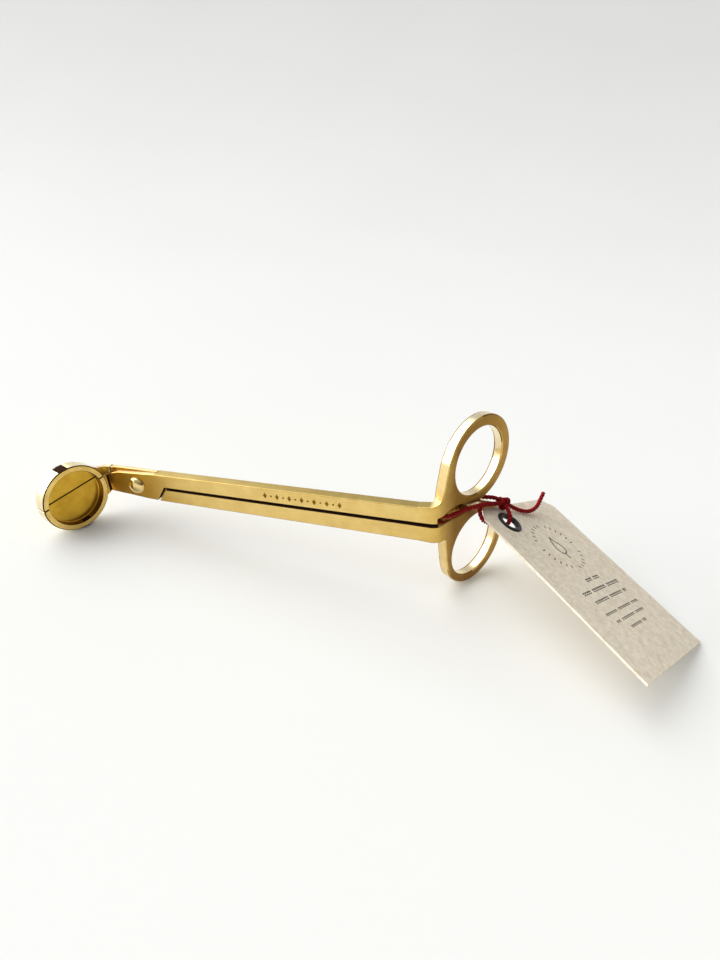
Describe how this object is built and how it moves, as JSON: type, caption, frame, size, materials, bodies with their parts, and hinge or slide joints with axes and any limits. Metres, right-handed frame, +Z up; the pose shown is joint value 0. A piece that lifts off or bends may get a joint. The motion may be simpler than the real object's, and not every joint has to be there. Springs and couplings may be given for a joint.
{
  "type": "candle wick trimmer",
  "caption": "Brass wick trimmer: crossing levers on one rivet, split round catch pan, angled finger rings, and a card tag tied on with string.",
  "frame": {"origin": "on the ground under the middle of the tool's bounding box, measured without the tag, the eyelet and the string", "axes": "+X along the shaft towards the finger rings, +Y to the back, away from the side that the pan faces, +Z up; the tool stands on the pan rim and the lower finger ring"},
  "size_m": [0.2627, 0.0894, 0.0721],
  "materials": {
    "brass_arm": "satin brushed",
    "brass_pan": "satin brushed",
    "brass_rivet": "polished",
    "card": "handmade paper",
    "eyelet_metal": "black lacquer",
    "string": "twisted cotton"
  },
  "bodies": {
    "lower_half": {"lower_arm": "brass_arm", "lower_ring": "brass_arm", "blade_half_pan": "brass_pan", "pivot_rivet": "brass_rivet", "tag_card": "card", "tag_eyelet": "eyelet_metal", "string_ring_loop": "string", "string_eyelet_loop": "string", "string_free_end": "string", "string_knot": "string"},
    "upper_half": {"upper_arm": "brass_arm", "upper_ring": "brass_arm", "tray_half_pan": "brass_pan"}
  },
  "joints": [
    {"name": "pivot", "type": "hinge", "parent": "lower_half", "child": "upper_half", "pos_m": [-0.06085, -0.00426, 0.01716], "axis": [0, -1, 0], "range_deg": [0, 32]}
  ]
}
